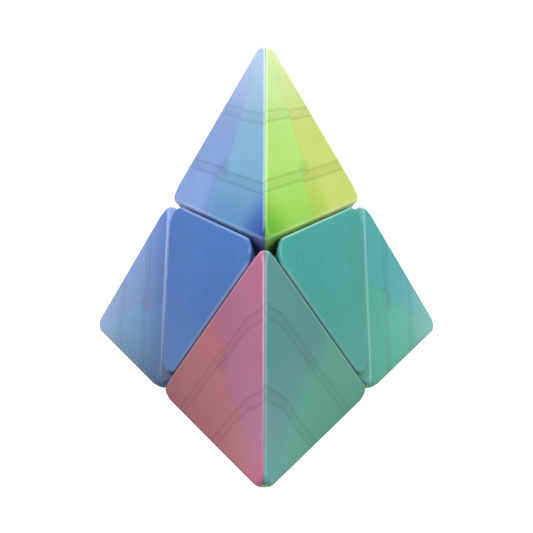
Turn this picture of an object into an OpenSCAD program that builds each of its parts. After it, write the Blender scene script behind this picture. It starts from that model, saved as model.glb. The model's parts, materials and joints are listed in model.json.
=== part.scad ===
// Pyramid twisty puzzle: a tetrahedron cut by three square planes into four corners and four centres.
// Millimetres. Origin at the middle of the base face, +Z up, the near corner towards -Y.
// Inside, six spring-loaded hubs on a core hold twelve hidden edges, which hold the eight feet.

/* [Overall size] */
// Length of an edge over its two blunt tips
edge_length = 98; // [80:1:130]
// How far each blunt tip stops short of a sharp corner
tip_flat = 3.1; // [2.4:0.1:4]
// Radius round the blunt tips
tip_r = 1; // [0.6:0.1:1.2]
// Radius along the six long edges
ridge_r = 0.8; // [0.5:0.1:1.2]

/* [Shells] */
// Thickness of the coloured outer plates
plate_t = 2; // [1.4:0.1:3]
// Thickness of the inner walls along the cuts
wall_t = 1.6; // [1:0.1:2.4]
// Thickness of the laps that lie behind the neighbouring plate
lap_t = 1; // [0.6:0.1:1.6]
// Bevel along the cut edges
cut_bevel = 0.7; // [0.3:0.1:1.2]
// Diameter of the pegs under a centre cap
peg_d = 2.4; // [1.6:0.1:3.2]

/* [Mechanism] */
// Distance from the inside of a plate down to the hollow ball around the mechanism
ball_inset = 2.66; // [2.4:0.02:3.2]
// Thickness of the round hub caps
hub_t = 2.5; // [2:0.1:3]
// Thickness of the wings of the hidden edges
wing_t = 1.6; // [1.2:0.1:2]
// Thickness of the round feet
foot_t = 1.5; // [1.2:0.1:1.8]
// Space between the core ball and the feet
core_gap = 3; // [2.4:0.1:3.6]
// Diameter of the six core arms
arm_d = 5.4; // [4.4:0.1:6.5]
// Diameter of the stem of each foot
stem_d = 3.8; // [3:0.1:4]
// Wire diameter of the hub springs
wire_d = 0.5; // [0.3:0.05:0.6]
// Diameter of the axis screws
screw_d = 2.4; // [2:0.1:2.6]

/* [Clearances] */
// Gap between two pieces that turn past each other
turn_gap = 0.4; // [0.2:0.05:0.8]
// Gap between parts of one piece
part_gap = 0.1; // [0.04:0.02:0.2]
// Gap between moving layers of the mechanism
layer_gap = 0.3; // [0.2:0.05:0.4]
// Radial running fit of a hub on its screw
run_fit = 0.06; // [0.02:0.01:0.1]

/* [Hidden] */
blue = [0.36, 0.55, 0.82];
teal = [0.30, 0.70, 0.62];
lime = [0.72, 0.90, 0.25];
pink = [0.86, 0.50, 0.60];
milky = [0.90, 0.92, 0.92];
steel = [0.62, 0.64, 0.66];
// a tetrahedron with sharp corners; its corners are every other corner of a cube
tip_back = tip_flat * sqrt(3) / 2;
sharp_edge = edge_length + sqrt(2) * (sqrt(3) * tip_r + tip_back) - 2 * tip_r;
half_cube = sharp_edge / (2 * sqrt(2));
face_r = half_cube / sqrt(3);
face_tilt = acos(-1 / sqrt(3));
dihedral = acos(1 / 3);
big = 2 * sharp_edge;
// the flat frame of a face: y runs from the middle of the face to its corner
corner_y = sharp_edge / sqrt(3);
cut_y = corner_y / 4;
plate_in = face_r - plate_t;
lap_out = plate_in - part_gap;
lap_in = lap_out - lap_t;
// shells of the mechanism, from the hollow ball inwards
cavity_r = plate_in - ball_inset;
hub_r = [cavity_r - layer_gap - hub_t, cavity_r - layer_gap];
wing_r = [hub_r[0] - layer_gap - wing_t, hub_r[0] - layer_gap];
foot_r = [wing_r[0] - layer_gap - foot_t, wing_r[0] - layer_gap];
core_r = foot_r[0] - core_gap;
// how far one part of a piece reaches into the next, so that they are one solid
root = 0.4;
stem_root = 0.6;
// the screw head, the pocket around it and the stem of the hub, from the screw outwards
screw_head_rim = 0.84;
screw_head_gap = 0.7;
pocket_wall = 1.2;
screw_head_r = screw_d / 2 + screw_head_rim;
hub_pocket_r = screw_head_r + screw_head_gap;
hub_stem_r = hub_pocket_r + pocket_wall;
// half angles of the parts of the mechanism, seen from the centre: a wing fits between the
// stems of two hubs and two feet, the hubs reach over it and the feet reach under it
hub_stem_gap = 0.65;
foot_stem_gap = 0.84;
hub_cover = 2;
foot_cover = 4.24;
head_share = 0.615;
hub_to_wing = 45;
wing_to_foot = atan(sqrt(1 / 2));
wing_angle = min(hub_to_wing - asin((hub_stem_r + hub_stem_gap) / wing_r[0]),
                 wing_to_foot - asin((stem_d / 2 + foot_stem_gap) / wing_r[0]));
hub_angle = hub_to_wing - wing_angle + hub_cover;
foot_angle = wing_to_foot - wing_angle + foot_cover;
head_angle = head_share * (hub_to_wing - hub_angle);
// heights in the hub
hub_floor_t = 0.9;
hub_floor = wing_r[0] + hub_floor_t;
// the screw in the middle of the hub, its washer and its spring
screw_root = 2;
screw_apart = 0.2;
screw_start = max(core_r - screw_root, screw_d / 2 + screw_apart);
screw_head_t = 1.1;
screw_head_inset = 0.2;
screw_head_z = hub_r[1] - screw_head_t - screw_head_inset;
socket_r = 1;
socket_floor = 0.4;
washer_t = 0.3;
washer_rim = 0.3;
spring_gap = 0.65;
spring_r = hub_pocket_r - spring_gap - wire_d / 2;
spring_turns = 3;
spring_seat = 0.05;
// the laps, their ribs and the snap clip in the middle of the cut
lap_end = 1.4;
lap_side = 0.2;
lap_start = 1.5;
// where the two laps cross, as a share of the ridge of a corner
lap_split = 0.52;
rib_h = 1;
rib_t = 1;
rib_rows = [10, 25];
clip = [4, 3.5, 2];
clip_under = 2;
// the foot of a corner: a cup that just clears the three walls, which lean away from it
shelf_t = 1.2;
cup_t = 1.4;
cup_h = 7;
disc_z = cavity_r + part_gap;
cup_r = disc_z / sqrt(2) - (turn_gap / 2 + wall_t) * sqrt(3 / 2) - part_gap;
// the foot of a centre: a smaller disc on the shelf of the body
disc_share = 0.75;
// the caps and bodies of the centres
peg_l = 5;
// from the sharp corner of a cap to the peg nearest it
peg_inset = 13.52;
peg_out = 2 * cut_y - peg_inset;
cap_lean = 0.35;
cap_trim = 2.2;
body_trim = 4.5;
// the ends of a corner where a ridge meets the cuts
end_dir = [1, -0.6, -0.6];
end_trim = 2;
// where the radius of a tip has run out into that of the ridge
tip_reach = 5;
// how far the uncut corner reaches past the cuts
past_cut = 3;

// ---- placing ----

// cube frame to the frame of the part: +X to the near edge, +Y to the right edge, +Z to the left edge
module place() {
  translate([0, 0, face_r])
    rotate([0, 0, -30])
      rotate([0, -acos(1 / sqrt(3)), 0])
        rotate([0, 0, -45])
          children();
}

// turn k thirds about the diagonal through the top corner
module third(k) {
  rotate(a = 120 * k, v = [1, 1, 1])
    children();
}

// half turn from the top octant to another: 0 top, 1 near, 2 right, 3 left
module swing(i) {
  turn = [[0, 0, 0], [180, 0, 0], [0, 180, 0], [0, 0, 180]][i];
  rotate(turn)
    children();
}

// flat frame of the right face of the top octant: z out of the face, y to the corner
module on_face() {
  rotate([0, face_tilt, 45])
    rotate([0, 0, 90])
      children();
}

// z along the diagonal of the top octant
module on_diagonal() {
  rotate([0, acos(1 / sqrt(3)), 45])
    children();
}

// everything within a distance d along a direction
module half_space(dir, d) {
  rotate([0, acos(dir[2] / norm(dir)), atan2(dir[1], dir[0])])
    translate([-big / 2, -big / 2, d - big])
      cube(big);
}

// ---- corners ----

module ridge_ball(radius, u) {
  at = half_cube - sqrt(3) * radius;
  translate([at, u, u])
    sphere(radius / cos(180 / 24), $fn = 24);
}

// rounded outline of a corner before it is cut
module corner_form() {
  hull() {
    for (k = [0:2])
      third(k) {
        ridge_ball(tip_r, half_cube - tip_back);
        ridge_ball(ridge_r, half_cube - tip_reach);
        ridge_ball(ridge_r, -past_cut);
      }
    translate([-past_cut, -past_cut, -past_cut])
      cube(1);
  }
}

// the three outer planes of the corner and the three cuts
module corner_planes() {
  intersection_for(k = [0:2])
    third(k)
      intersection() {
        half_space([1, 1, -1], face_r);
        half_space([0, 0, -1], -turn_gap / 2);
        cut_bevel_plane();
        half_space(end_dir, half_cube / norm(end_dir) - end_trim);
      }
}

// bevel between the right face and its cut
module cut_bevel_plane() {
  dir = [1, 1, -1] / sqrt(3) + [0, 0, -1];
  at = (half_cube + turn_gap / 2) / 2;
  edge = [at, at, turn_gap / 2];
  half_space(dir, edge * dir / norm(dir) - cut_bevel * cos(face_tilt / 2));
}

// the third of a corner that is nearest its right face
module wedge() {
  intersection() {
    half_space([-1, 0, 1], -part_gap / 4);
    half_space([0, -1, 1], -part_gap / 4);
  }
}

// point in the flat frame, e in from the ridge and t along it from the corner
function lap_point(e, t) = [
  t / 2 - e * cos(30),
  corner_y - t * cos(30) - e / 2,
];

// a lap lies behind half of the neighbouring plate; it crosses the neighbour's own lap near the ridge,
// so each of the two is joined to its plate along one part of the ridge only
module lap_outline(joined_low) {
  joined = plate_t * (1 + cos(dihedral)) / sin(dihedral) - lap_side;
  inner = plate_t + part_gap + lap_t + rib_h;
  clear = (inner * (1 + cos(dihedral)) + lap_side) / sin(dihedral);
  start = clear / tan(30) + lap_start;
  split = lap_split * sharp_edge / 2 + (joined_low ? part_gap : -part_gap);
  high = joined_low ? clear : joined;
  low = joined_low ? joined : clear;
  low_y = cut_y + lap_end;
  low_t = (corner_y - low_y - low / 2) / cos(30);
  polygon([
    lap_point(high, start),
    lap_point(high, split),
    lap_point(low, split),
    lap_point(low, low_t),
    [part_gap, low_y],
    [part_gap, lap_point(high, start)[1]],
  ]);
}

module lap(joined_low) {
  translate([0, 0, lap_in])
    linear_extrude(lap_t)
      lap_outline(joined_low);
  // two stiffening ribs behind the lap, parallel to the cut
  for (row = rib_rows)
    translate([0, 0, lap_in - rib_h])
      linear_extrude(rib_h + lap_t / 2)
        intersection() {
          lap_outline(joined_low);
          translate([0, cut_y + row])
            square([big, rib_t]);
        }
}

// one shell of the top corner: right plate, the wall along its cut, and two laps
module shell() {
  difference() {
    intersection() {
      corner_form();
      corner_planes();
      wedge();
    }
    intersection() {
      half_space([1, 1, -1], plate_in);
      half_space([0, 0, -1], -turn_gap / 2 - wall_t);
    }
    sphere(cavity_r, $fn = 96);
  }
  // snap clip in the middle of the cut
  on_face()
    translate([-clip[0] / 2, cut_y - clip_under, lap_in - part_gap - clip[2]])
      cube(clip);
  third(1)
    on_face()
      mirror([1, 0, 0])
        lap(true);
  third(2)
    on_face()
      lap(false);
}

// ---- feet ----

// part of a thick ball around the z axis, between two radii and within an angle of the axis
module ball_disc(radii, angle) {
  rotate_extrude($fn = 72)
    intersection() {
      difference() {
        circle(radii[1], $fn = 96);
        circle(radii[0], $fn = 96);
      }
      polygon([[0, 0], [big * tan(angle), big], [0, big]]);
    }
}

module foot_stem(top) {
  ball_disc(foot_r, foot_angle);
  translate([0, 0, foot_r[0] + stem_root])
    cylinder(d = stem_d, h = top - foot_r[0] - stem_root, $fn = 48);
}

// a corner foot opens into a cup that the three shells close around
module corner_foot() {
  foot_stem(disc_z + shelf_t);
  translate([0, 0, disc_z])
    difference() {
      cylinder(r = cup_r, h = cup_h, $fn = 72);
      translate([0, 0, shelf_t])
        cylinder(r = cup_r - cup_t, h = cup_h, $fn = 72);
    }
}

// a centre foot ends in a disc that stands on the shelf of its body
module centre_foot() {
  foot_stem(plate_in - part_gap);
  translate([0, 0, plate_in - part_gap - shelf_t])
    cylinder(r = disc_share * cup_r, h = shelf_t, $fn = 72);
}

// ---- centres ----

// flat frame of the face: the middle triangle, within the three cuts
module centre_planes() {
  intersection_for(k = [0:2])
    rotate([0, 0, 120 * k])
      half_space([0, face_r, -cut_y], -turn_gap / 2);
}

module centre_tips(trim) {
  intersection_for(k = [0:2])
    rotate([0, 0, 120 * k])
      half_space([0, -1, 0], 2 * cut_y - trim);
}

// the three places where a peg of the cap meets a post of the body
module peg_spots() {
  for (k = [0:2])
    rotate([0, 0, 120 * k])
      translate([0, -peg_out, 0])
        children();
}

module centre_cap() {
  intersection() {
    translate([0, 0, plate_in])
      linear_extrude(plate_t)
        square(big, center = true);
    intersection_for(k = [0:2])
      rotate([0, 0, 120 * k])
        intersection() {
          half_space([0, face_r, -cut_y], -turn_gap / 2);
          half_space([0, 1, cap_lean], (cut_y + cap_lean * face_r) / norm([1, cap_lean]) - cut_bevel);
        }
    centre_tips(cap_trim);
  }
  peg_spots()
    translate([0, 0, plate_in - peg_l])
      cylinder(d = peg_d, h = peg_l + root, $fn = 32);
}

module centre_body() {
  top = plate_in - part_gap;
  difference() {
    intersection() {
      centre_planes();
      half_space([0, 0, 1], top);
      centre_tips(body_trim);
    }
    // hollow above the shelf
    intersection() {
      intersection_for(k = [0:2])
        rotate([0, 0, 120 * k])
          half_space([0, face_r, -cut_y], -turn_gap / 2 - wall_t);
      half_space([0, 0, -1], -top + shelf_t + part_gap);
    }
    sphere(cavity_r, $fn = 96);
    cylinder(d = stem_d + 2 * part_gap, h = big, $fn = 48);
    peg_holes();
  }
}

module peg_holes() {
  peg_spots()
    translate([0, 0, plate_in - peg_l - part_gap])
      cylinder(d = peg_d + part_gap, h = big, $fn = 32);
}

// ---- mechanism ----

// z axis turned to a direction in the cube frame
module toward(dir) {
  rotate([0, acos(dir[2] / norm(dir)), atan2(dir[1], dir[0])])
    children();
}

module each_axis() {
  for (dir = [[1, 0, 0], [-1, 0, 0], [0, 1, 0], [0, -1, 0], [0, 0, 1], [0, 0, -1]])
    toward(dir)
      children();
}

// hub around the z axis: a sleeve on the screw, a pocket for the spring and a round cap
module hub() {
  difference() {
    union() {
      ball_disc(hub_r, hub_angle);
      translate([0, 0, wing_r[0]])
        cylinder(r = hub_stem_r, h = hub_r[0] + root - wing_r[0], $fn = 64);
    }
    cylinder(d = screw_d + 2 * run_fit, h = big, $fn = 48);
    translate([0, 0, hub_floor])
      cylinder(r = hub_pocket_r, h = big, $fn = 48);
  }
}

module axis_screw() {
  difference() {
    union() {
      translate([0, 0, screw_start])
        cylinder(d = screw_d, h = screw_head_z - screw_start + root / 4, $fn = 32);
      translate([0, 0, screw_head_z])
        cylinder(r = screw_head_r, h = screw_head_t, $fn = 48);
    }
    translate([0, 0, screw_head_z + socket_floor])
      cylinder(r = socket_r, h = big, $fn = 6);
  }
}

// ring pressed up by the spring against the screw head
module axis_washer() {
  difference() {
    cylinder(r = screw_head_r + washer_rim, h = washer_t, $fn = 48);
    translate([0, 0, -1])
      cylinder(d = screw_d + 2 * part_gap, h = big, $fn = 32);
  }
}

// coil around z from height a to height b
module coil(a, b) {
  steps = 9;
  sides = 5;
  n = spring_turns * steps;
  rise = b - a - wire_d;
  points = [
    for (i = [0:n], j = [0:sides - 1])
      let (turn = 360 * i / steps, way = 360 * j / sides, r = spring_r + wire_d / 2 * cos(way))
        [r * cos(turn), r * sin(turn), a + wire_d / 2 + rise * i / n + wire_d / 2 * sin(way)]
  ];
  ring = [for (j = [0:sides - 1]) j];
  walls = [
    for (i = [0:n - 1], j = ring)
      let (k = (j + 1) % sides)
        for (tri = [[0, 1, 2], [0, 2, 3]])
          let (quad = [i * sides + j, i * sides + k, (i + 1) * sides + k, (i + 1) * sides + j])
            [for (c = tri) quad[c]]
  ];
  start = [for (j = ring) sides - 1 - j];
  end = [for (j = ring) n * sides + j];
  polyhedron(points, concat(walls, [start, end]));
}

// ---- pieces ----

module core() {
  color(milky)
    place()
      difference() {
        union() {
          sphere(core_r, $fn = 64);
          each_axis()
            cylinder(d = arm_d, h = foot_r[1], $fn = 48);
        }
        each_axis()
          translate([0, 0, screw_start])
            cylinder(d = screw_d + part_gap / 2, h = big, $fn = 32);
      }
}

module axis_screws() {
  color(steel)
    place()
      each_axis()
        axis_screw();
}

module axis_springs() {
  color(steel)
    place()
      each_axis()
        coil(hub_floor + spring_seat, screw_head_z - washer_t - spring_seat);
}

module axis_washers() {
  color(steel)
    place()
      each_axis()
        translate([0, 0, screw_head_z - washer_t])
          axis_washer();
}

module axis_hub(dir) {
  color(milky)
    place()
      toward(dir)
        hub();
}

// a hidden edge lies between two hubs: a wing under the hub caps and a head between them
module inner_edge(dir) {
  color(milky)
    place()
      toward(dir) {
        ball_disc(wing_r, wing_angle);
        ball_disc([wing_r[0] + root, hub_r[1]], head_angle);
      }
}

// shell of a corner: which octant, which of its three shells, and its plastic
module corner_shell(octant, k, plastic) {
  color(plastic)
    place()
      swing(octant)
        third(k)
          shell();
}

module corner_stem(octant) {
  color(milky)
    place()
      swing(octant)
        on_diagonal()
          corner_foot();
}

module cap(octant, plastic) {
  color(plastic)
    place()
      swing(octant)
        on_face()
          centre_cap();
}

module centre_block(octant, plastic) {
  color(plastic)
    place()
      swing(octant)
        on_face()
          centre_body();
}

module centre_stem(octant) {
  color(milky)
    place()
      swing(octant)
        on_face()
          centre_foot();
}

// ---- drawing ----

core();
axis_screws();
axis_springs();
axis_washers();
axis_hub([1, 0, 0]);  // front_hub
axis_hub([-1, 0, 0]);  // rear_hub
axis_hub([0, 1, 0]);  // upper_right_hub
axis_hub([0, -1, 0]);  // lower_left_hub
axis_hub([0, 0, 1]);  // upper_left_hub
axis_hub([0, 0, -1]);  // lower_right_hub
inner_edge([1, 1, 0]);  // inner_edge_front_top_right
inner_edge([1, 0, 1]);  // inner_edge_front_top_left
inner_edge([1, -1, 0]);  // inner_edge_front_low_left
inner_edge([1, 0, -1]);  // inner_edge_front_low_right
inner_edge([0, 1, 1]);  // inner_edge_top
inner_edge([0, 1, -1]);  // inner_edge_right
inner_edge([0, -1, 1]);  // inner_edge_left
inner_edge([0, -1, -1]);  // inner_edge_bottom
inner_edge([-1, 1, 0]);  // inner_edge_back_right
inner_edge([-1, 0, 1]);  // inner_edge_back_left
inner_edge([-1, -1, 0]);  // inner_edge_under_left
inner_edge([-1, 0, -1]);  // inner_edge_under_right
corner_shell(0, 0, lime);  // top_shell_right
corner_shell(0, 1, pink);  // top_shell_back
corner_shell(0, 2, blue);  // top_shell_left
corner_stem(0);  // top_foot
corner_shell(1, 0, pink);  // near_shell_left
corner_shell(1, 1, lime);  // near_shell_under
corner_shell(1, 2, teal);  // near_shell_right
corner_stem(1);  // near_foot
corner_shell(2, 0, blue);  // right_shell_back
corner_shell(2, 1, teal);  // right_shell_front
corner_shell(2, 2, lime);  // right_shell_under
corner_stem(2);  // right_foot
corner_shell(3, 0, teal);  // left_shell_under
corner_shell(3, 1, blue);  // left_shell_front
corner_shell(3, 2, pink);  // left_shell_back
corner_stem(3);  // left_foot
cap(0, teal);  // front_right_cap
centre_block(0, teal);  // front_right_body
centre_stem(0);  // front_right_foot
cap(1, blue);  // front_left_cap
centre_block(1, blue);  // front_left_body
centre_stem(1);  // front_left_foot
cap(2, pink);  // back_cap
centre_block(2, pink);  // back_body
centre_stem(2);  // back_foot
cap(3, lime);  // under_cap
centre_block(3, lime);  // under_body
centre_stem(3);  // under_foot
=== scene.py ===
"""Looks of a pyramid twisty puzzle, laid out as a Blender add-on and run as a script."""

import json
import math

import bmesh
import bpy
from bpy.props import FloatProperty, FloatVectorProperty, PointerProperty
from bpy.types import Operator, Panel, PropertyGroup
from mathutils import Matrix, Vector


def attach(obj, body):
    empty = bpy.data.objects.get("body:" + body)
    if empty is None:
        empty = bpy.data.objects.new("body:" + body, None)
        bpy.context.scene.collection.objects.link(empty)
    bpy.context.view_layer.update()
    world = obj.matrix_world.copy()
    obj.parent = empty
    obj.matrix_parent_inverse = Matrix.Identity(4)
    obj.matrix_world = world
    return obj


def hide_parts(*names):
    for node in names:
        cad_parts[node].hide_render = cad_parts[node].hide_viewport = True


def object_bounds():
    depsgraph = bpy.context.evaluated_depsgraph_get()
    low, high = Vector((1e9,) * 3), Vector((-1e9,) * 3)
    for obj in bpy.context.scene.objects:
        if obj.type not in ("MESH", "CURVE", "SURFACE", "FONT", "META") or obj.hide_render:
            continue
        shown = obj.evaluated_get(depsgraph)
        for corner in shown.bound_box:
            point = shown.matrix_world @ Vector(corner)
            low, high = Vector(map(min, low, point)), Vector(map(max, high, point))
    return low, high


bl_info = {
    "name": "Pyramid twisty puzzle",
    "version": (1, 0, 0),
    "blender": (4, 5, 0),
    "location": "3D View > Sidebar > Puzzle",
    "description": "Coloured shells, caps and inner parts of a pyramid twisty puzzle",
    "category": "Object",
}

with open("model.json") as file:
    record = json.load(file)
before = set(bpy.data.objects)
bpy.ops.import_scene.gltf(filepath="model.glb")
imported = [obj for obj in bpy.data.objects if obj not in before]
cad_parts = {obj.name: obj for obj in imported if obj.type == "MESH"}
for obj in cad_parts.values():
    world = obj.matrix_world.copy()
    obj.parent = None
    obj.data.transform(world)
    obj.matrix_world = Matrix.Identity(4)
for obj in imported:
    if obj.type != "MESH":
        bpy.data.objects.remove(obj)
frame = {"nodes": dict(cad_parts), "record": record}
CAD_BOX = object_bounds()
MM = 0.001

# map that holds a point's place in the flat frame of its face, and the millimetres of one unit
FLAT_MAP = "flat"
FLAT_SCALE = 100
# edges that bend by more than this stay sharp
SHARP_ANGLE = math.radians(28)

# the axes of the cube that the pyramid is cut from
TILT = math.acos(-1 / math.sqrt(3))
TURN = Matrix.Rotation
TO_FACE = TURN(math.radians(45), 4, "Z") @ TURN(TILT, 4, "Y") @ TURN(math.radians(90), 4, "Z")
FACES = [Vector(v).normalized() for v in ((1, 1, -1), (-1, 1, 1), (1, -1, 1))]
CUTS = [Vector(v) for v in ((0, 0, -1), (-1, 0, 0), (0, -1, 0))]

# each octant: its half turn from the top octant
SWINGS = {
    "top": Matrix.Identity(4),
    "near": TURN(math.pi, 4, "X"),
    "right": TURN(math.pi, 4, "Y"),
    "left": TURN(math.pi, 4, "Z"),
}
CORNER_SHELLS = {
    "top": (("right", "lime"), ("back", "pink"), ("left", "blue")),
    "near": (("left", "pink"), ("under", "lime"), ("right", "teal")),
    "right": (("back", "blue"), ("front", "teal"), ("under", "lime")),
    "left": (("under", "teal"), ("front", "blue"), ("back", "pink")),
}
# each centre: the corner whose half turn brings it into place, and its plastic
CENTRES = {
    "front_right": ("top", "teal"),
    "front_left": ("near", "blue"),
    "back": ("right", "pink"),
    "under": ("left", "lime"),
}


# ---- measures ----


def length(name, default, text, **more):
    return FloatProperty(name=name, default=default, description=text, unit="LENGTH", **more)


def tint(name, default, text):
    return FloatVectorProperty(
        name=name, default=default, description=text, subtype="COLOR", size=3, min=0, max=1
    )


class PuzzleSizes(PropertyGroup):
    """Sizes of the visible shells and caps; the overall size comes from the CAD frame."""

    edge: length("Edge", CAD_BOX[1][0] - CAD_BOX[0][0], "Edge over its two rounded tips")
    tip_flat: length("Tip flat", 3.1 * MM, "How far each blunt tip stops short of a sharp corner")
    tip: length("Tip radius", 1.0 * MM, "Radius round the blunt tips")
    tuck: length("Tip tuck", 0.16 * MM, "How far a tip is drawn back along its edges")
    ridge: length("Ridge radius", 0.8 * MM, "Radius along the long edges")
    rim: length("Rim radius", 0.55 * MM, "Radius along the cut edges")
    nose: length("Nose radius", 1.6 * MM, "Radius of the ends of a corner where two cuts meet")
    cap_corner: length("Cap corner radius", 3.5 * MM, "Radius of the corners of a cap, seen flat")
    plate: length("Plate", 2.0 * MM, "Thickness of an outer plate")
    wall: length("Wall", 1.6 * MM, "Thickness of a wall along a cut")
    lap: length("Lap", 1.0 * MM, "Thickness of a lap behind a plate")
    rib: length("Rib", 1.0 * MM, "Height and thickness of a rib behind a lap")
    low_rib: length("Low rib", 10 * MM, "Distance of the low rib from the cut")
    high_rib: length("High rib", 25 * MM, "Distance of the high rib from the cut")
    turn_gap: length("Turning gap", 0.4 * MM, "Gap between pieces that turn past each other")
    part_gap: length("Part gap", 0.1 * MM, "Gap between parts of one piece")
    ball_inset: length("Ball inset", 2.66 * MM, "From the inside of a plate to the hollow ball")
    shelf: length("Shelf", 1.2 * MM, "Thickness of the shelf that a foot stands on")
    stem: length("Stem", 3.8 * MM, "Diameter of the stem of a foot")
    peg: length("Peg", 2.4 * MM, "Diameter of a peg under a centre cap")
    peg_length: length("Peg length", 5.0 * MM, "Length of a peg under a centre cap")
    peg_inset: length("Peg inset", 13.52 * MM, "From the sharp corner of a cap to its peg")


class PuzzlePlastics(PropertyGroup):
    """Colours of the four jelly plastics, of the plain inner parts and of the steel."""

    blue: tint("Blue", (0.22, 0.44, 0.82), "Blue jelly plastic")
    teal: tint("Teal", (0.07, 0.46, 0.41), "Teal jelly plastic")
    lime: tint("Lime", (0.58, 0.88, 0.17), "Lime jelly plastic")
    pink: tint("Pink", (0.68, 0.135, 0.29), "Pink jelly plastic")
    milky: tint("Milky", (0.74, 0.78, 0.78), "Natural plastic of the inner parts")
    steel: tint("Steel", (0.58, 0.59, 0.60), "Zinc-plated steel of the screws and springs")


class Measures:
    """The driving sizes in millimetres, and what follows from them."""

    def __init__(self, sizes):
        for name in PuzzleSizes.__annotations__:
            setattr(self, name, getattr(sizes, name) / MM)
        self.tip_back = self.tip_flat * math.sqrt(3) / 2
        past_tips = math.sqrt(2) * (math.sqrt(3) * self.tip + self.tip_back)
        self.sharp = self.edge + past_tips - 2 * self.tip
        self.half = self.sharp / (2 * math.sqrt(2))
        self.face = self.half / math.sqrt(3)
        self.corner_y = self.sharp / math.sqrt(3)
        self.cut_y = self.corner_y / 4
        self.peg_out = 2 * self.cut_y - self.peg_inset
        self.plate_in = self.face - self.plate
        self.cavity = self.plate_in - self.ball_inset
        self.side = self.turn_gap / 2
        self.seam = self.part_gap / 4


def place(m):
    """Cube frame in millimetres to the frame of the part in metres."""
    turn = TURN(math.radians(-30), 4, "Z") @ TURN(TILT - math.pi, 4, "Y")
    turn = turn @ TURN(math.radians(-45), 4, "Z")
    return Matrix.Scale(MM, 4) @ Matrix.Translation((0, 0, m.face)) @ turn


def third(k):
    return TURN(math.radians(120 * k), 4, Vector((1, 1, 1)))


def spun(k):
    return TURN(math.radians(120 * k), 4, "Z")


# ---- shaping ----


def carve(bm, normal, distance):
    """Keep the side of a plane that its normal points away from, and close the cut."""
    if max(v.co.dot(normal) for v in bm.verts) <= distance + 1e-6:
        return
    geom = bm.verts[:] + bm.edges[:] + bm.faces[:]
    cut = bmesh.ops.bisect_plane(
        bm, geom=geom, dist=1e-4, plane_co=normal * distance, plane_no=normal, clear_outer=True
    )
    rim = [e for e in cut["geom_cut"] if isinstance(e, bmesh.types.BMEdge) and e.is_boundary]
    if rim:
        bmesh.ops.holes_fill(bm, edges=rim)


def fan(a, b, c, d, steps=9):
    """Directions spread over the patch between four directions; the last two may be the same."""
    for i in range(steps + 1):
        for j in range(steps + 1):
            s, t = i / steps, j / steps
            yield ((1 - s) * ((1 - t) * a + t * c) + s * ((1 - t) * b + t * d)).normalized()


def round_off(bm, balls, directions):
    """Carve a block down to the skin stretched over a set of balls."""
    done = []
    for n in directions:
        if all((n - o).length > 1e-3 for o in done):
            done.append(n)
            carve(bm, n, max(n.dot(c) + r for c, r in balls))


def block(reach):
    bm = bmesh.new()
    bmesh.ops.create_cube(bm, size=2 * reach)
    return bm


def ball(radius, fineness=5):
    bm = bmesh.new()
    bmesh.ops.create_icosphere(bm, subdivisions=fineness, radius=radius)
    return bm


def rod(radius, low, high, segments=40):
    bm = bmesh.new()
    bmesh.ops.create_cone(
        bm, cap_ends=True, segments=segments, radius1=radius, radius2=radius, depth=high - low
    )
    return moved(bm, Matrix.Translation((0, 0, (low + high) / 2)))


def box(low, high):
    bm = bmesh.new()
    bmesh.ops.create_cube(bm, size=1)
    middle = (Vector(low) + Vector(high)) / 2
    size = Vector(high) - Vector(low)
    return moved(bm, Matrix.Translation(middle) @ Matrix.Diagonal((*size, 1)))


def slab(outline, low, high):
    """A flat outline made into a closed plate between two heights."""
    bm = bmesh.new()
    face = bm.faces.new([bm.verts.new((p.x, p.y, low)) for p in outline])
    lift = bmesh.ops.extrude_face_region(bm, geom=[face])
    raised = [v for v in lift["geom"] if isinstance(v, bmesh.types.BMVert)]
    bmesh.ops.translate(bm, verts=raised, vec=(0, 0, high - low))
    bmesh.ops.recalc_face_normals(bm, faces=bm.faces)
    return bm


def moved(bm, matrix):
    bmesh.ops.transform(bm, matrix=matrix, verts=bm.verts)
    if matrix.determinant() < 0:
        bmesh.ops.reverse_faces(bm, faces=bm.faces)
    return bm


def as_object(bm, name):
    mesh = bpy.data.meshes.new(name)
    bm.to_mesh(mesh)
    bm.free()
    made = bpy.data.objects.new(name, mesh)
    bpy.context.scene.collection.objects.link(made)
    return made


def worked(base, steps):
    """Join solids to a solid or cut them out of it; a step is an operation and a solid."""
    blank = as_object(base, "blank")
    tools = [blank]
    for operation, bm in steps:
        tool = as_object(bm, "tool")
        tools.append(tool)
        step = blank.modifiers.new(operation.lower(), "BOOLEAN")
        step.operation = operation
        step.solver = "MANIFOLD"
        step.object = tool
    graph = bpy.context.evaluated_depsgraph_get()
    result = bpy.data.meshes.new_from_object(blank.evaluated_get(graph))
    bm = bmesh.new()
    bm.from_mesh(result)
    bpy.data.meshes.remove(result)
    for tool in tools:
        bpy.data.meshes.remove(tool.data)
    bmesh.ops.remove_doubles(bm, verts=bm.verts, dist=1e-3)
    if not bm.faces:
        raise RuntimeError("a solid came out empty")
    return bm


# ---- corners ----

# how far from a tip its radius has run out into that of the ridge
TIP_REACH = 5
# how far the round end of a corner reaches before its straight edges, in nose radii
NOSE_REACH = 0.7
# laps: clearance from a wall or ridge, start beyond the tip, stop above the cut, and the
# place along a ridge, as a share of its length, where one lap gives way to the other
LAP_CLEARANCE = 0.2
LAP_START = 1.5
LAP_STOP = 1.4
LAP_SPLIT = 0.26
# snap clip: half its width, its depth, and its reach below and above the cut
CLIP_HALF, CLIP_DEPTH, CLIP_BELOW, CLIP_ABOVE = 2, 2, 2, 1.5


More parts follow.
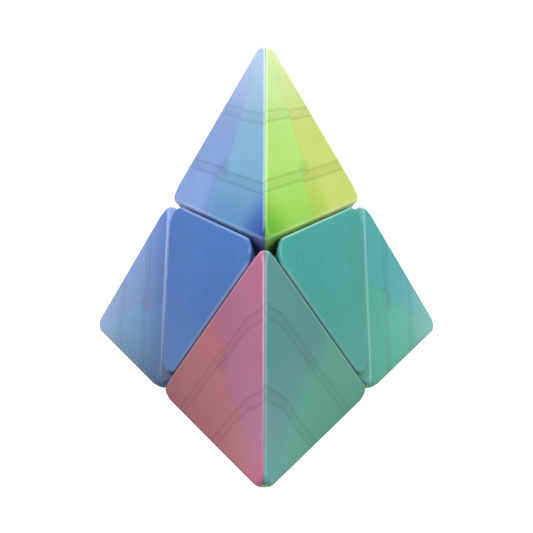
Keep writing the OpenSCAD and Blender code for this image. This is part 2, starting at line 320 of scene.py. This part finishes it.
def corner_form(m):
    """The rounded block of the top corner, in the cube frame."""
    low = m.side + m.rim
    nose_at = m.side + m.nose
    beside = nose_at + NOSE_REACH * m.nose
    along_ridge = (
        (m.tip, m.half - m.tip_back - m.tuck),
        (m.ridge, m.half - TIP_REACH),
        (m.ridge, beside + m.ridge),
    )
    balls = [(Vector((low,) * 3), m.rim)]
    for k in range(3):
        turn = third(k)
        balls.append((turn @ Vector((m.half - math.sqrt(3) * m.nose, nose_at, nose_at)), m.nose))
        for radius, u in along_ridge:
            balls.append((turn @ Vector((m.half - math.sqrt(3) * radius, u, u)), radius))
        balls.append((turn @ Vector((m.half - 3 * m.nose, low, low)), m.rim))
        across = m.half - math.sqrt(3) * m.rim + low
        for pair in ((across - beside, beside), (beside, across - beside)):
            balls.append((turn @ Vector((*pair, low)), m.rim))
    directions = list(FACES) + list(CUTS) + list(fan(*FACES, FACES[2])) + list(fan(*CUTS, CUTS[2]))
    for a, b in ((0, 2), (1, 0), (2, 1)):
        directions += fan(FACES[a], FACES[b], CUTS[a], CUTS[b])
    bm = block(2 * m.half)
    round_off(bm, balls, directions)
    return bm


def wedge(bm, m):
    """Keep the third of the corner that is nearest its right face."""
    carve(bm, Vector((-1, 0, 1)).normalized(), -m.seam)
    carve(bm, Vector((0, -1, 1)).normalized(), -m.seam)


def lap_point(m, inward, along):
    """Point in the flat frame of a face, from its ridge and its corner."""
    down = along * math.cos(math.pi / 6)
    return Vector((along / 2 - inward * math.cos(math.pi / 6), m.corner_y - down - inward / 2))


def lap_outline(m, joined_low):
    """Outline of a lap; it crosses the neighbour's own lap, so it is joined along one part only."""
    slope = 1 / 3
    rise = math.sqrt(1 - slope**2)
    joined = m.plate * (1 + slope) / rise - LAP_CLEARANCE
    deep = m.plate + m.part_gap + m.lap + m.rib
    clear = (deep * (1 + slope) + LAP_CLEARANCE) / rise
    start = clear * math.sqrt(3) + LAP_START
    split = LAP_SPLIT * m.sharp + (m.part_gap if joined_low else -m.part_gap)
    high, low = (clear, joined) if joined_low else (joined, clear)
    low_y = m.cut_y + LAP_STOP
    low_along = (m.corner_y - low_y - low / 2) / math.cos(math.pi / 6)
    top = lap_point(m, high, start)
    return [
        top,
        lap_point(m, high, split),
        lap_point(m, low, split),
        lap_point(m, low, low_along),
        Vector((m.part_gap, low_y)),
        Vector((m.part_gap, top.y)),
    ]


def lap_steps(m, joined_low, matrix):
    """A lap with its two ribs, ready to be joined to the plate beside the one it lies behind."""
    outline = lap_outline(m, joined_low)
    top = m.plate_in - m.part_gap
    steps = [("UNION", moved(slab(outline, top - m.lap, top), matrix))]
    for row in (m.low_rib, m.high_rib):
        rib = slab(outline, top - m.lap - m.rib, top - m.lap / 2)
        carve(rib, Vector((0, -1, 0)), -m.cut_y - row)
        carve(rib, Vector((0, 1, 0)), m.cut_y + row + m.rib)
        steps.append(("UNION", moved(rib, matrix)))
    return steps


def shell_form(m):
    """One shell of the top corner: its plate, the wall along its cut, two laps and the clip."""
    form = corner_form(m)
    wedge(form, m)
    hollow = block(2 * m.half)
    carve(hollow, FACES[0], m.plate_in)
    carve(hollow, CUTS[0], -m.side - m.wall)
    clip_top = m.plate_in - m.lap - 2 * m.part_gap
    clip = box(
        (-CLIP_HALF, m.cut_y - CLIP_BELOW, clip_top - CLIP_DEPTH),
        (CLIP_HALF, m.cut_y + CLIP_ABOVE, clip_top),
    )
    steps = [("DIFFERENCE", hollow), ("DIFFERENCE", ball(m.cavity))]
    steps.append(("UNION", moved(clip, TO_FACE)))
    steps += lap_steps(m, True, third(1) @ TO_FACE @ Matrix.Diagonal((-1, 1, 1, 1)))
    steps += lap_steps(m, False, third(2) @ TO_FACE)
    return worked(form, steps)


# ---- centres ----

# steps of the arc round each corner of a cap
CAP_ARC = 8
# how far a peg is sunk into its cap, and how far the stem's hole starts inside the hollow ball
PEG_ROOT = 0.4
HOLE_START = 2


def centre_sides(m):
    return [spun(k).to_3x3() @ Vector((0, m.face, -m.cut_y)).normalized() for k in range(3)]


def tangent(normals, distances):
    """The point at the given distances along three directions."""
    return Matrix(normals).inverted() @ Vector(distances)


def centre_form(m):
    """The rounded block of a centre, cap and body together, in the flat frame of its face."""
    up = Vector((0, 0, 1))
    sides = centre_sides(m)
    balls = [(tangent(sides, (-m.side - m.rim,) * 3), m.rim)]
    directions = [up] + sides + list(fan(*sides, sides[2]))
    for k in range(3):
        a, b = sides[k], sides[(k + 1) % 3]
        beside = -m.side - m.cap_corner
        corner = tangent((up, a, b), (m.face - m.rim, beside, beside))
        start, end = (Vector((*n.xy, 0)).normalized() for n in (a, b))
        swing = (m.cap_corner - m.rim) / a.dot(start)
        for i in range(CAP_ARC + 1):
            balls.append((corner + swing * start.lerp(end, i / CAP_ARC).normalized(), m.rim))
        directions += fan(up, up, a, b)
    bm = block(2 * m.half)
    round_off(bm, balls, directions)
    return bm


def peg_rods(m, radius, low, high):
    out = Matrix.Translation((0, -m.peg_out, 0))
    return [moved(rod(radius, low, high), spun(k) @ out) for k in range(3)]


def cap_form(m):
    """The cap of a centre: a rounded plate with three pegs."""
    form = centre_form(m)
    carve(form, Vector((0, 0, -1)), -m.plate_in)
    pegs = peg_rods(m, m.peg / 2, m.plate_in - m.peg_length, m.plate_in + PEG_ROOT)
    return worked(form, [("UNION", peg) for peg in pegs])


def body_form(m):
    """The body under a cap: a solid block around the hollow ball, with a shelf for its foot."""
    top = m.plate_in - m.part_gap
    form = centre_form(m)
    carve(form, Vector((0, 0, 1)), top)
    hollow = block(2 * m.half)
    for n in centre_sides(m):
        carve(hollow, n, -m.side - m.wall)
    carve(hollow, Vector((0, 0, -1)), -top + m.shelf + m.part_gap)
    steps = [("DIFFERENCE", hollow), ("DIFFERENCE", ball(m.cavity))]
    stem_hole = rod(m.stem / 2 + m.part_gap, m.cavity - HOLE_START, m.face)
    steps.append(("DIFFERENCE", stem_hole))
    peg_end = m.plate_in - m.peg_length - m.part_gap
    holes = peg_rods(m, (m.peg + m.part_gap) / 2, peg_end, m.face)
    return worked(form, steps + [("DIFFERENCE", hole) for hole in holes])


def lay_flat(bm, matrix):
    """Give a shape the map of its place in the flat frame of its face."""
    layer = bm.loops.layers.uv.new(FLAT_MAP)
    back = matrix.inverted()
    for face in bm.faces:
        for loop in face.loops:
            loop[layer].uv = (back @ loop.vert.co).xy / FLAT_SCALE


def finish_piece(name, bm, matrix, material, replaced):
    """Put a shape in place as a finished piece that stands in for a CAD node."""
    moved(bm, matrix)
    piece = as_object(bm, name)
    mesh = piece.data
    mesh.polygons.foreach_set("use_smooth", [True] * len(mesh.polygons))
    mesh.set_sharp_from_angle(angle=SHARP_ANGLE)
    mesh.materials.append(material)
    even = piece.modifiers.new("even_normals", "WEIGHTED_NORMAL")
    even.keep_sharp = True
    bodies = frame["record"]["behaviour"]["bodies"]
    body = next(b for b, nodes in bodies.items() if replaced in nodes)
    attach(piece, body)
    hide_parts(replaced)
    return piece


# ---- materials ----


class Wires:
    """Short ways to add nodes to a tree and wire them up."""

    def __init__(self, tree):
        self.tree = tree

    def put(self, kind, inputs=(), **settings):
        node = self.tree.nodes.new(kind)
        for name, value in settings.items():
            setattr(node, name, value)
        for key, value in dict(inputs).items():
            if isinstance(value, bpy.types.NodeSocket):
                self.tree.links.new(value, node.inputs[key])
            else:
                node.inputs[key].default_value = value
        return node

    def math(self, operation, *values):
        return self.put("ShaderNodeMath", enumerate(values), operation=operation).outputs[0]

    def ramp(self, value, start, end, low=0.0, high=1.0):
        """Smooth step of a value: low up to start, high from end on."""
        inputs = {"Value": value, "From Min": start, "From Max": end, "To Min": low, "To Max": high}
        node = self.put("ShaderNodeMapRange", inputs, interpolation_type="SMOOTHSTEP")
        return node.outputs["Result"]

    def band(self, value, middle, half, soft):
        """1 within half of the middle, fading to 0 over the soft width."""
        away = self.math("ABSOLUTE", self.math("SUBTRACT", value, middle))
        return self.ramp(away, half, half + soft, 1.0, 0.0)

    def line(self, value, middle, soft):
        return self.band(value, middle, 0.0, soft)

    def blend(self, factor, a, b, mode="MIX"):
        node = self.put("ShaderNodeMix", data_type="RGBA", blend_type=mode)
        for key, value in (("Factor", factor), ("A", a), ("B", b)):
            socket = next(s for s in node.inputs if s.name == key and s.enabled)
            if isinstance(value, bpy.types.NodeSocket):
                self.tree.links.new(value, socket)
            else:
                socket.default_value = value
        return next(s for s in node.outputs if s.enabled)

    def shade(self, colour, factor, mask):
        """Darken (below 1) or brighten (above 1) a colour where the mask is 1."""
        inputs = {"Value": mask, "From Min": 0.0, "From Max": 1.0, "To Min": 1.0, "To Max": factor}
        level = self.put("ShaderNodeMapRange", inputs).outputs["Result"]
        return self.scaled(colour, level)

    def scaled(self, colour, level):
        node = self.put("ShaderNodeVectorMath", {0: colour, 1: level}, operation="MULTIPLY")
        return node.outputs[0]

    def noise(self, place_at, scale, detail):
        inputs = {"Vector": place_at, "Scale": scale, "Detail": detail}
        return self.put("ShaderNodeTexNoise", inputs).outputs["Fac"]

    def length(self, a, b):
        squares = self.math("POWER", a, 2.0), self.math("POWER", b, 2.0)
        return self.math("SQRT", self.math("ADD", *squares))


def group(name, colours, values):
    """An empty shader group with a place, colours and values; gives its tree, wires and inputs."""
    tree = bpy.data.node_groups.new(name, "ShaderNodeTree")
    tree.interface.new_socket("Place", in_out="INPUT", socket_type="NodeSocketVector")
    for colour in colours:
        tree.interface.new_socket(colour, in_out="INPUT", socket_type="NodeSocketColor")
    for value in values:
        tree.interface.new_socket(value, in_out="INPUT", socket_type="NodeSocketFloat")
    tree.interface.new_socket("Colour", in_out="OUTPUT", socket_type="NodeSocketColor")
    wires = Wires(tree)
    return tree, wires, wires.put("NodeGroupInput").outputs


def flat_place(w, place_at):
    """Place in the flat frame of a face, in millimetres."""
    split = w.put("ShaderNodeSeparateXYZ", {0: place_at})
    return [w.math("MULTIPLY", split.outputs[i], FLAT_SCALE) for i in (0, 1)]


# distances from the tip between which the laps start to show
LAP_FADE = (4.0, 11.0)
# how far above their ribs the low and high bands show, and half the space between their edges
RIB_SHIFTS = (0.9, 0.5)
RIB_EDGE = 1.1
# distances from an end of the cut between which the painted shade of the hole there fades
HOLE_SHADE_FADE = (14.0, 2.0)


def shell_group(m):
    """What shows through a corner plate: the neighbours' two laps, their ribs and the clip, with
    painted shade and painted light.
    """
    colours = ("Own", "Right lap", "Left lap", "Deep")
    values = ("Show", "Milk", "Tip glow", "Depth", "Blur", "Dark end", "Lean", "Arch")
    tree, w, given = group("shell_depth", colours, values)
    x, y = flat_place(w, given["Place"])
    above_cut = w.math("SUBTRACT", y, m.cut_y)
    from_tip = w.math("SUBTRACT", m.corner_y, y)
    reach = w.math("MULTIPLY", w.math("ABSOLUTE", x), math.cos(math.pi / 6))
    from_ridge = w.math("SUBTRACT", w.math("MULTIPLY", from_tip, 0.5), reach)
    # the two laps meet along the middle line, which steps aside at the snap clip
    step_aside = w.ramp(above_cut, 10.8, 11.2, -2.6, 0.0)
    from_line = w.math("SUBTRACT", x, step_aside)
    side = w.ramp(from_line, w.math("MULTIPLY", given["Blur"], -1.0), given["Blur"])
    lap_colour = w.blend(side, given["Left lap"], given["Right lap"])
    behind = w.math("MULTIPLY", w.ramp(from_tip, *LAP_FADE), given["Show"])
    colour = w.blend(behind, given["Own"], lap_colour, "MULTIPLY")
    milk = w.math("MULTIPLY", w.ramp(from_tip, *LAP_FADE), given["Milk"])
    colour = w.blend(milk, colour, w.shade(lap_colour, 0.4, 1.0))
    # edges of the laps and of their ribs
    row = w.math("ADD", above_cut, w.ramp(side, 0.0, 1.0, 0.0, 0.6))
    # the ribs bend into an arch at one ridge
    arch = w.ramp(w.math("MULTIPLY", x, given["Arch"]), 0.0, 3.0)
    bend = w.ramp(from_ridge, 7.0, 0.5, 0.0, 1.8)
    row = w.math("SUBTRACT", row, w.math("MULTIPLY", bend, arch))
    for rib in (m.low_rib + RIB_SHIFTS[0], m.high_rib + RIB_SHIFTS[1]):
        colour = w.shade(colour, 0.93, w.band(row, rib, 1.0, 0.5))
        for edge in (rib - RIB_EDGE, rib + RIB_EDGE):
            colour = w.shade(colour, 0.84, w.line(row, edge, 0.55))
    colour = w.shade(colour, 0.93, w.line(from_line, 0.0, 0.5))
    clip_zone = w.math("MULTIPLY", w.band(x, -0.5, 2.1, 0.4), w.band(above_cut, 12.1, 1.6, 0.4))
    colour = w.shade(colour, 0.9, clip_zone)
    # the hollow is darker by the cut, partly from looking deeper into the plastic and partly as
    # painted shade
    sideways = w.math("MULTIPLY", x, given["Dark end"])
    depth_and_cut_shade = w.math("MULTIPLY", w.ramp(above_cut, 18.0, -2.0), given["Depth"])
    depth_and_cut_shade = w.math("MULTIPLY", depth_and_cut_shade, w.ramp(sideways, -9.0, 1.0))
    colour = w.blend(depth_and_cut_shade, colour, given["Deep"], "MULTIPLY")
    # painted shade of the hole where four pieces meet, at the end of the cut on one side
    end = (m.corner_y - m.cut_y) / math.sqrt(3)
    beyond = w.math("SUBTRACT", w.math("ABSOLUTE", x), end)
    from_nose = w.length(beyond, above_cut)
    hole_shade = w.math("MULTIPLY", w.ramp(from_nose, *HOLE_SHADE_FADE), w.ramp(sideways, 0.0, 4.0))
    for _ in range(2):
        colour = w.blend(hole_shade, colour, given["Deep"], "MULTIPLY")
    # painted light: lighter towards the tip, with painted highlights along the rounded ridge and
    # the cut edges
    pale = w.blend(0.5, given["Own"], (1.0, 1.0, 1.0, 1.0))
    glow = w.math("MULTIPLY", w.ramp(from_tip, 26.0, 4.0), given["Tip glow"])
    glow = w.math("MAXIMUM", glow, w.ramp(from_ridge, 0.8, 0.3, 0.0, 0.2))
    glow = w.math("MAXIMUM", glow, w.ramp(above_cut, 1.1, 0.5, 0.0, 0.18))
    glow = w.math("MAXIMUM", glow, w.ramp(above_cut, 0.45, 0.3, 0.0, 0.15))
    colour = w.blend(glow, colour, pale)
    # painted light and shade across the face: one side brighter than the other
    level = w.math("MULTIPLY_ADD", x, given["Lean"], 1.0)
    w.put("NodeGroupOutput", {"Colour": w.scaled(colour, level)})
    return tree


# radii between which the lighter foot disc behind a cap fades
DISC_FADE = (7.6, 6.6)
# distances from a cap's sharp corner between which its paler corner fades
CORNER_FADE = (4.6, 4.0)
# distances inwards from a cap's side between which the painted highlight on its rim fades
RIM_HIGHLIGHT_FADE = (1.5, 0.4)


def cap_group(m):
    """What shows through a cap: its three pegs, the round foot behind it and a painted highlight on
    its rim.
    """
    tree, w, given = group("cap_depth", ("Own", "Edge"), ("Rim glow",))
    x, y = flat_place(w, given["Place"])
    colour = given["Own"]
    colour = w.shade(colour, 1.05, w.ramp(w.length(x, y), *DISC_FADE))
    nearest = None
    for k in range(3):
        angle = math.radians(120 * k + 90)
        right, up = math.cos(angle), math.sin(angle)
        along = w.math("ADD", w.math("MULTIPLY", x, right), w.math("MULTIPLY", y, up))
        inward = w.math("SUBTRACT", m.cut_y, along)
        nearest = inward if nearest is None else w.math("MINIMUM", nearest, inward)
        corner = w.ramp(along, *[-2 * m.cut_y + fade for fade in CORNER_FADE])
        colour = w.blend(w.math("MULTIPLY", corner, 0.35), colour, given["Edge"])
        px = w.math("SUBTRACT", x, -m.peg_out * right)
        py = w.math("SUBTRACT", y, -m.peg_out * up)
        colour = w.shade(colour, 0.90, w.line(w.length(px, py), m.peg / 2 + 0.2, 0.5))
    # painted highlight along the rounded rim
    rim = w.math("MULTIPLY", w.ramp(nearest, *RIM_HIGHLIGHT_FADE), given["Rim glow"])
    colour = w.blend(rim, colour, given["Edge"])
    w.put("NodeGroupOutput", {"Colour": colour})
    return tree


def grain_group():
    """Fine mould texture and faint clouds of the plastics."""
    tree, w, given = group("plastic_grain", ("Own",), ("Gloss",))
    tree.interface.new_socket("Roughness", in_out="OUTPUT", socket_type="NodeSocketFloat")
    tree.interface.new_socket("Height", in_out="OUTPUT", socket_type="NodeSocketFloat")
    cloud = w.noise(given["Place"], 45.0, 3.0)
    fine = w.noise(given["Place"], 900.0, 2.0)
    colour = w.shade(given["Own"], 1.05, w.ramp(cloud, 0.35, 0.65))
    rough = w.math("ADD", given["Gloss"], w.ramp(cloud, 0.3, 0.7, -0.03, 0.04))
    w.put("NodeGroupOutput", {"Colour": colour, "Roughness": rough, "Height": fine})
    return tree


def shared(name, make, *args):
    return bpy.data.node_groups.get(name) or make(*args)


def solid_colour(rgb, factor=1.0):
    return (*[min(1.0, c * factor) for c in rgb], 1.0)


def filter_colour(rgb):
    """The colour that light takes on behind a plastic: its own, at full strength."""
    return solid_colour(rgb, 1 / max(rgb))


def finish_plastic(name, colour_of, rough, transmission, bump=0.04):
    """A plastic: colour from colour_of(wires), grain and gloss from the shared group."""
    material = bpy.data.materials.new(name)
    material.use_nodes = True
    w = Wires(material.node_tree)
    shader = material.node_tree.nodes["Principled BSDF"]
    grain = w.put("ShaderNodeGroup", node_tree=shared("plastic_grain", grain_group))
    where = w.put("ShaderNodeTexCoord").outputs["Object"]
    links = material.node_tree.links
    links.new(where, grain.inputs["Place"])
    colour = colour_of(w)
    if isinstance(colour, bpy.types.NodeSocket):
        links.new(colour, grain.inputs["Own"])
    else:
        grain.inputs["Own"].default_value = colour
    grain.inputs["Gloss"].default_value = rough
    height = grain.outputs["Height"]
    bumped = w.put("ShaderNodeBump", {"Height": height, "Strength": bump, "Distance": 0.0001})
    links.new(grain.outputs["Colour"], shader.inputs["Base Color"])
    links.new(grain.outputs["Roughness"], shader.inputs["Roughness"])
    links.new(bumped.outputs["Normal"], shader.inputs["Normal"])
    shader.inputs["IOR"].default_value = 1.46
    shader.inputs["Transmission Weight"].default_value = transmission
    shader.inputs["Coat Weight"].default_value = 0.25
    shader.inputs["Coat Roughness"].default_value = 0.08
    return material


def flat_map(w):
    return w.put("ShaderNodeUVMap", uv_map=FLAT_MAP).outputs["UV"]


# how a corner's shells let light through: level of painted light, how much the laps filter and
# how much they scatter, painted tip light, depth with painted shade, and blur of the laps in
# millimetres
CORNER_PAINTED_LIGHT = {
    "top": (1.02, 0.26, 0.0, 0.55, 0.85, 0.5),
    "near": (0.67, 0.20, 0.075, 0.10, 0.10, 3.0),
    "right": (0.93, 0.24, 0.0, 0.22, 0.35, 1.2),
    "left": (0.70, 0.20, 0.02, 0.20, 0.9, 0.6),
}
# the side of a shell whose end gets the painted shade of the hole where four pieces meet
HOLE_SHADE_SIDES = {("top", 0): -1, ("top", 2): 1}
# the side of a shell where its neighbours' ribs show bent into an arch at the ridge
ARCHES = {("near", 0): -1, ("near", 2): 1}
# how fast painted light brightens a shell to one side, for each millimetre
LEANS = {("left", 1): 0.024, ("right", 1): -0.006, ("near", 0): -0.014, ("near", 2): 0.006}
# heights in metres between which painted light makes a cap grow lighter towards its top
CAP_PAINTED_LIGHT_HEIGHTS = (0.012, 0.058)
# a cap looks deeper than a hollow corner: power and level of its plastic
CAP_DEPTH = {"blue": (1.8, 0.57), "teal": (1.22, 0.74), "lime": (1.35, 0.9), "pink": (1.35, 0.9)}


def shell_plastic(m, corner, k, plastics):
    """Jelly plastic of one shell, with its neighbours' laps showing through."""
    shells = CORNER_SHELLS[corner]
    own, after, before = (getattr(plastics, shells[(k + i) % 3][1]) for i in range(3))
    # the level is the corner's painted light; tip light and depth carry painted light and shade
    level, show, milk, tip_painted_light, depth, blur = CORNER_PAINTED_LIGHT[corner]

    def colour_of(w):
        inputs = {
            "Place": flat_map(w),
            "Own": solid_colour(own, level),
            "Right lap": filter_colour(after),
            "Left lap": filter_colour(before),
            "Deep": solid_colour([0.2 + 0.75 * c for c in filter_colour(own)[:3]], 0.85),
            "Show": show,
            "Milk": milk,
            "Tip glow": tip_painted_light,
            "Depth": depth,
            "Blur": blur,
            "Dark end": HOLE_SHADE_SIDES.get((corner, k), 0),
            "Lean": LEANS.get((corner, k), 0),
            "Arch": ARCHES.get((corner, k), 0),
        }
        tree = shared("shell_depth", shell_group, m)
        node = w.put("ShaderNodeGroup", node_tree=tree)
        for key, value in inputs.items():
            if key == "Place":
                w.tree.links.new(value, node.inputs[key])
            else:
                node.inputs[key].default_value = value
        return node.outputs["Colour"]

    side, name = CORNER_SHELLS[corner][k]
    return finish_plastic(f"{corner}_{side}_{name}_jelly", colour_of, 0.24, 0.15)


def cap_plastic(m, centre, name, colour):
    """Jelly plastic of a centre cap, deeper in colour because its body lies right behind it."""

    def colour_of(w):
        node = w.put("ShaderNodeGroup", node_tree=shared("cap_depth", cap_group, m))
        w.tree.links.new(flat_map(w), node.inputs["Place"])
        power, level = CAP_DEPTH[name]
        node.inputs["Own"].default_value = solid_colour([c**power for c in colour], level)
        node.inputs["Edge"].default_value = solid_colour([0.5 * c + 0.35 for c in colour])
        node.inputs["Rim glow"].default_value = 0.6
        # painted light: the cap grows lighter towards its top
        where = w.put("ShaderNodeTexCoord").outputs["Object"]
        height = w.put("ShaderNodeSeparateXYZ", {0: where}).outputs[2]
        return w.shade(node.outputs["Colour"], 1.35, w.ramp(height, *CAP_PAINTED_LIGHT_HEIGHTS))

    return finish_plastic(centre + "_cap_jelly", colour_of, 0.22, 0.1)


def body_plastic(centre, colour):
    paler = solid_colour([0.6 * c + 0.3 for c in colour])
    return finish_plastic(centre + "_body_jelly", lambda w: paler, 0.3, 0.3)


# ---- operators ----


class PUZZLE_OT_corner_shells(Operator):
    """Build the three coloured shells of each of the four corners"""

    bl_idname = "puzzle.corner_shells"
    bl_label = "Corner shells"

    def execute(self, context):
        m = Measures(context.scene.puzzle_sizes)
        pattern = shell_form(m)
        lay_flat(pattern, TO_FACE)
        for corner, shells in CORNER_SHELLS.items():
            for k, (side, colour) in enumerate(shells):
                node = f"{corner}_shell_{side}"
                matrix = place(m) @ SWINGS[corner] @ third(k)
                material = shell_plastic(m, corner, k, context.scene.puzzle_plastics)
                finish_piece(node + "_plastic", pattern.copy(), matrix, material, node)
        pattern.free()
        return {"FINISHED"}


class PUZZLE_OT_centres(Operator):
    """Build the rounded cap and the body of each of the four centres"""

    bl_idname = "puzzle.centres"
    bl_label = "Centres"

    def execute(self, context):
        m = Measures(context.scene.puzzle_sizes)
        cap, body = cap_form(m), body_form(m)
        for pattern in (cap, body):
            lay_flat(pattern, Matrix.Identity(4))
        for centre, (swing, colour) in CENTRES.items():
            matrix = place(m) @ SWINGS[swing] @ TO_FACE
            rgb = getattr(context.scene.puzzle_plastics, colour)
            node = centre + "_cap"
            material = cap_plastic(m, centre, colour, rgb)
            finish_piece(node + "_plastic", cap.copy(), matrix, material, node)
            node = centre + "_body"
            material = body_plastic(centre, rgb)
            finish_piece(node + "_plastic", body.copy(), matrix, material, node)
        cap.free()
        body.free()
        return {"FINISHED"}


class PUZZLE_OT_inner_parts(Operator):
    """Give the inner plastic parts their natural plastic, and screws and springs their steel"""

    bl_idname = "puzzle.inner_parts"
    bl_label = "Inner parts"

    def execute(self, context):
        plastics = context.scene.puzzle_plastics
        milky = finish_plastic("milky_natural", lambda w: solid_colour(plastics.milky), 0.36, 0.0)
        steel = zinc_steel(plastics.steel)
        for name, node in frame["nodes"].items():
            if name.startswith("axis_"):
                node.data.materials[0] = steel
            elif name.startswith(("core", "inner_edge")) or name.endswith(("_hub", "_foot")):
                node.data.materials[0] = milky
        return {"FINISHED"}


def zinc_steel(colour):
    material = bpy.data.materials.new("zinc_steel")
    material.use_nodes = True
    w = Wires(material.node_tree)
    shader = material.node_tree.nodes["Principled BSDF"]
    where = w.put("ShaderNodeTexCoord").outputs["Object"]
    noise = w.noise(where, 700.0, 3.0)
    tone = w.blend(w.ramp(noise, 0.35, 0.7), solid_colour(colour), solid_colour(colour, 0.8))
    links = material.node_tree.links
    links.new(tone, shader.inputs["Base Color"])
    links.new(w.ramp(noise, 0.3, 0.7, 0.22, 0.42), shader.inputs["Roughness"])
    shader.inputs["Metallic"].default_value = 1
    return material


class PUZZLE_OT_stage(Operator):
    """Set the pale floor, the soft lights and the camera"""

    bl_idname = "puzzle.stage"
    bl_label = "Stage"

    def execute(self, context):
        scene = context.scene
        bm = bmesh.new()
        bmesh.ops.create_grid(bm, x_segments=1, y_segments=1, size=FLOOR_HALF)
        floor = as_object(bm, "floor")
        pale = bpy.data.materials.new("pale_floor")
        pale.use_nodes = True
        shader = pale.node_tree.nodes["Principled BSDF"]
        shader.inputs["Base Color"].default_value = FLOOR_GREY
        shader.inputs["Roughness"].default_value = 0.6
        shader.inputs["Emission Color"].default_value = (1, 1, 1, 1)
        w = Wires(pale.node_tree)
        seen = w.put("ShaderNodeLightPath").outputs["Is Camera Ray"]
        glow = w.math("MULTIPLY", seen, FLOOR_GLOW)
        pale.node_tree.links.new(glow, shader.inputs["Emission Strength"])
        floor.data.materials.append(pale)
        world = bpy.data.worlds.new("studio")
        world.use_nodes = True
        w = Wires(world.node_tree)
        seen = w.put("ShaderNodeLightPath").outputs["Is Camera Ray"]
        sky = w.put("ShaderNodeSeparateXYZ", {0: w.put("ShaderNodeTexCoord").outputs["Generated"]})
        overhead = w.ramp(sky.outputs[2], 0.1, 0.9, *ROOM_LIGHT)
        strength = w.put("ShaderNodeMapRange", {"Value": seen, "To Min": overhead, "To Max": 1.0})
        background = world.node_tree.nodes["Background"]
        background.inputs["Color"].default_value = (1, 1, 1, 1)
        world.node_tree.links.new(strength.outputs["Result"], background.inputs["Strength"])
        scene.world = world
        for name, at, size, power in STUDIO_LIGHTS:
            light = bpy.data.lights.new(name, "AREA")
            light.size = size
            light.energy = power
            lamp = bpy.data.objects.new(name, light)
            scene.collection.objects.link(lamp)
            lamp.location = at
            lamp.rotation_euler = (LOOK_AT - Vector(at)).to_track_quat("-Z", "Y").to_euler()
            lamp.visible_camera = False
        lens = bpy.data.cameras.new("camera")
        lens.sensor_width = 36
        lens.lens = LENS
        lens.clip_start = 0.01
        camera = bpy.data.objects.new("camera", lens)
        scene.collection.objects.link(camera)
        camera.location = CAMERA_AT
        camera.rotation_euler = CAMERA_AIM.to_track_quat("-Z", "Y").to_euler()
        scene.camera = camera
        scene.view_settings.view_transform = "Standard"
        return {"FINISHED"}


# the point that the lamps face, the camera's place and direction, and its lens in millimetres
LOOK_AT = Vector((0, 0, 0.03))
CAMERA_AT = Vector((0.0012, -0.1843, 0.0828))
CAMERA_AIM = Vector((-0.0051, 0.9578, -0.2872))
LENS = 52.0
# strength of the room's light at the horizon and overhead
ROOM_LIGHT = (0.42, 1.1)
# floor: half its side in metres, colour, and how much it lights up to the eye
FLOOR_HALF = 6
FLOOR_GREY = (0.35, 0.35, 0.35, 1)
FLOOR_GLOW = 0.9
# name, place, size in metres, power in watts
STUDIO_LIGHTS = (
    ("key", (-0.35, -0.25, 0.5), 0.4, 2.4),
    ("fill", (0.45, -0.2, 0.35), 0.5, 1.7),
    ("back", (0.05, 0.45, 0.4), 0.5, 2.6),
)


class PUZZLE_PT_panel(Panel):
    """Lists the puzzle's sizes, plastics and build steps"""

    bl_idname = "PUZZLE_PT_panel"
    bl_label = "Pyramid puzzle"
    bl_space_type = "VIEW_3D"
    bl_region_type = "UI"
    bl_category = "Puzzle"

    def draw(self, context):
        for values in (context.scene.puzzle_sizes, context.scene.puzzle_plastics):
            for name in values.__annotations__:
                self.layout.prop(values, name)
        for operator in STEPS:
            self.layout.operator(operator.bl_idname)


STEPS = (PUZZLE_OT_corner_shells, PUZZLE_OT_centres, PUZZLE_OT_inner_parts, PUZZLE_OT_stage)
CLASSES = (PuzzleSizes, PuzzlePlastics, *STEPS, PUZZLE_PT_panel)


def register():
    for cls in CLASSES:
        bpy.utils.register_class(cls)
    bpy.types.Scene.puzzle_sizes = PointerProperty(type=PuzzleSizes)
    bpy.types.Scene.puzzle_plastics = PointerProperty(type=PuzzlePlastics)


def unregister():
    del bpy.types.Scene.puzzle_plastics
    del bpy.types.Scene.puzzle_sizes
    for cls in reversed(CLASSES):
        bpy.utils.unregister_class(cls)


def main():
    register()
    bpy.ops.puzzle.corner_shells()
    bpy.ops.puzzle.centres()
    bpy.ops.puzzle.inner_parts()
    bpy.ops.puzzle.stage()


if __name__ == "__main__":
    main()
